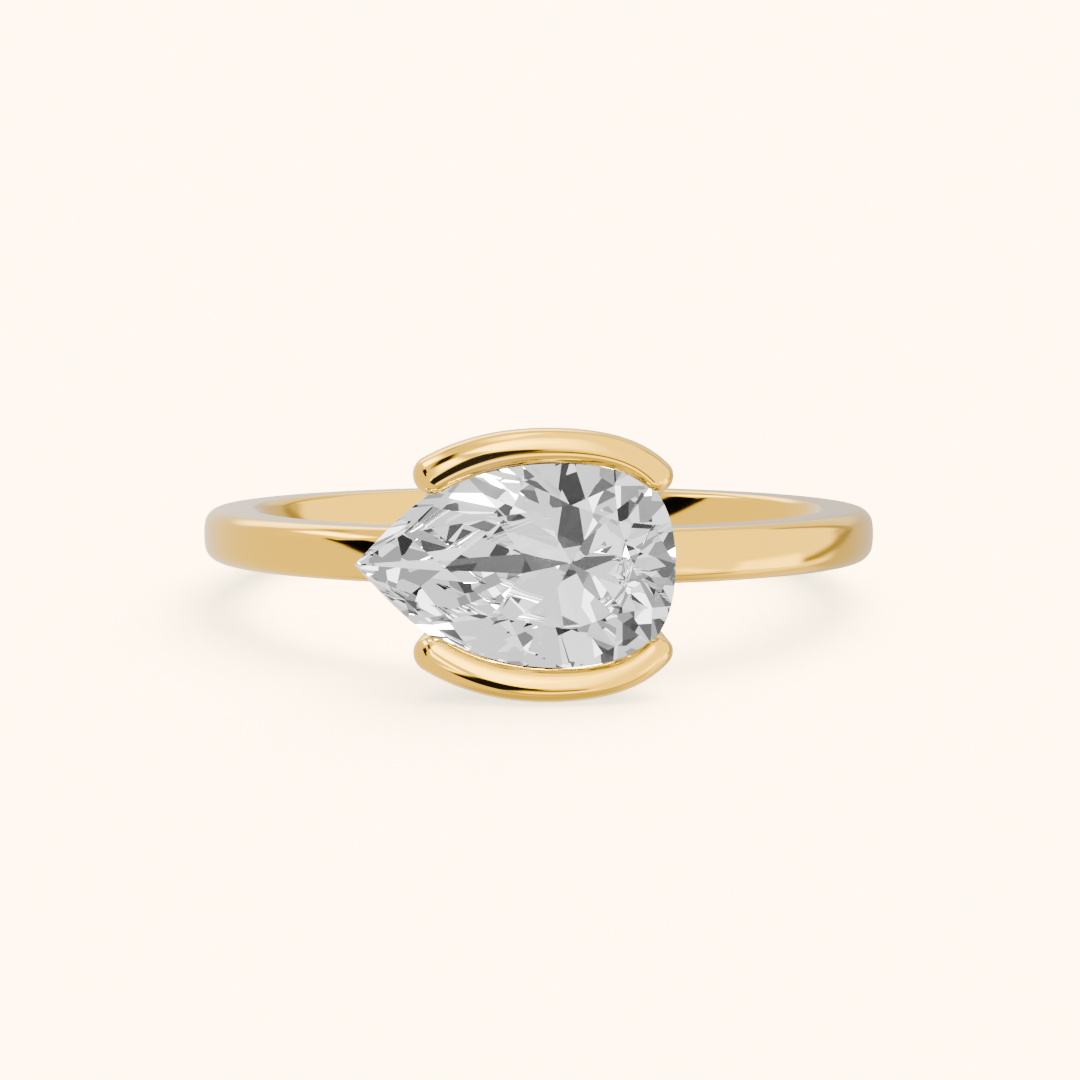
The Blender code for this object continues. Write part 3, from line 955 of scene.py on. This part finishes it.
print("The key light hangs towards", towards(*CARDS["key_light"][:2]))

# %% [markdown]
# ## Painting the world
#
# Each finished picture shines from a Background node. Light Path tells the rays apart: the camera's own,
# those that left a matt face, and those that have met the stone often enough to be on their way out of it.
# All else is the gold's.

# %% The world
CREAM = (4.5, 3.24, 2.14)
TABLE_SKY = (1.2, 0.8, 0.45)
TENT = 0.95
PANEL_SCALE = 2.6
PANEL_SHIFT = (1, 2, 3)
STONE_RAY_DEPTH = 2.5


def shine(nodes, links, colour=None, plain=None):
    """A background that shines with a linked colour or a plain one."""
    background = nodes.new("ShaderNodeBackground")
    if colour is not None:
        links.new(colour, background.inputs["Color"])
    else:
        background.inputs["Color"].default_value = (*plain, 1)
    return background.outputs["Background"]


def choose(nodes, links, factor, otherwise, chosen):
    """One background where the factor is 0 and another where it is 1."""
    mix = nodes.new("ShaderNodeMixShader")
    links.new(factor, mix.inputs["Fac"])
    links.new(otherwise, mix.inputs[1])
    links.new(chosen, mix.inputs[2])
    return mix.outputs["Shader"]


def paint_studio(world):
    nodes, links = world.node_tree.nodes, world.node_tree.links
    nodes.clear()
    place = nodes.new("ShaderNodeTexCoord")
    tent = nodes.new("ShaderNodeRGB")
    tent.outputs[0].default_value = (TENT, TENT, TENT, 1)
    for_gold = shine(nodes, links, hang_cards(nodes, links, place, tent.outputs[0], CARDS))
    panels = nodes.new("ShaderNodeGroup")
    panels.node_tree = panel_group
    panels.inputs["Scale"].default_value = PANEL_SCALE
    panels.inputs["Shift"].default_value = PANEL_SHIFT
    links.new(place.outputs["Generated"], panels.inputs["Direction"])
    for_stone = shine(nodes, links, hang_cards(nodes, links, place, panels.outputs["Shade"], STONE_CARDS))
    path = nodes.new("ShaderNodeLightPath")
    through_stone = add_math(nodes, links, "GREATER_THAN", path.outputs["Ray Depth"], STONE_RAY_DEPTH)
    mirrored = choose(nodes, links, through_stone, for_gold, for_stone)
    sky = nodes.new("ShaderNodeRGB")
    sky.outputs[0].default_value = (*TABLE_SKY, 1)
    for_table = shine(nodes, links, hang_cards(nodes, links, place, sky.outputs[0], TABLE_CARDS))
    lit = choose(nodes, links, path.outputs["Is Diffuse Ray"], mirrored, for_table)
    seen = choose(nodes, links, path.outputs["Is Camera Ray"], lit, shine(nodes, links, plain=CREAM))
    output = nodes.new("ShaderNodeOutputWorld")
    links.new(seen, output.inputs["Surface"])


world = bpy.data.worlds.new("studio")
world.use_nodes = True
world.cycles.sampling_method = "NONE"
paint_studio(world)
bpy.context.scene.world = world
print("The world has", len(world.node_tree.nodes), "nodes")

# %% [markdown]
# ## How light is counted
#
# Light bounces several times in the stone, so the limits on bounces are raised well past what it needs. The
# default sampling pattern sets each pixel's grain against its neighbours', and the denoiser left it standing
# in the stone's dark facets. With the tabulated pattern it clears them.

# %% Light limits
MOST_BOUNCES = 32

scene = bpy.context.scene
scene.cycles.max_bounces = MOST_BOUNCES
scene.cycles.glossy_bounces = MOST_BOUNCES
scene.cycles.transmission_bounces = MOST_BOUNCES
scene.cycles.sampling_pattern = "TABULATED_SOBOL"
print("Most bounces:", scene.cycles.max_bounces)

# %% [markdown]
# ## How the picture is shown
#
# The picture is shown through the AgX view, which rolls highlights off softly as film does. Only the stone's
# glints are brighter than the cream backdrop, and a real lens spreads such points a little: a bloom with a
# high threshold does that to them.

# %% View and bloom
BLOOM_ABOVE = 6.0
BLOOM_STRENGTH = 0.6
BLOOM_SIZE = 0.35

scene.view_settings.view_transform = "AgX"
scene.view_settings.look = "AgX - High Contrast"
scene.use_nodes = True
flow = scene.node_tree
flow.nodes.clear()
taken = flow.nodes.new("CompositorNodeRLayers")
bloom = flow.nodes.new("CompositorNodeGlare")
bloom.glare_type = "BLOOM"
bloom.inputs["Threshold"].default_value = BLOOM_ABOVE
bloom.inputs["Strength"].default_value = BLOOM_STRENGTH
bloom.inputs["Size"].default_value = BLOOM_SIZE
shown = flow.nodes.new("CompositorNodeComposite")
flow.links.new(taken.outputs["Image"], bloom.inputs["Image"])
flow.links.new(bloom.outputs["Image"], shown.inputs["Image"])
print(f"Shown through {scene.view_settings.look}, with a bloom above {BLOOM_ABOVE}")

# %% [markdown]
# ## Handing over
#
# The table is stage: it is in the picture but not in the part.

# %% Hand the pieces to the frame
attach(mount, "root")
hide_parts("ring_mount")
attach(stone, "root")
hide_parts("pear_stone")
print("Handed over:", mount.name, "and", stone.name)
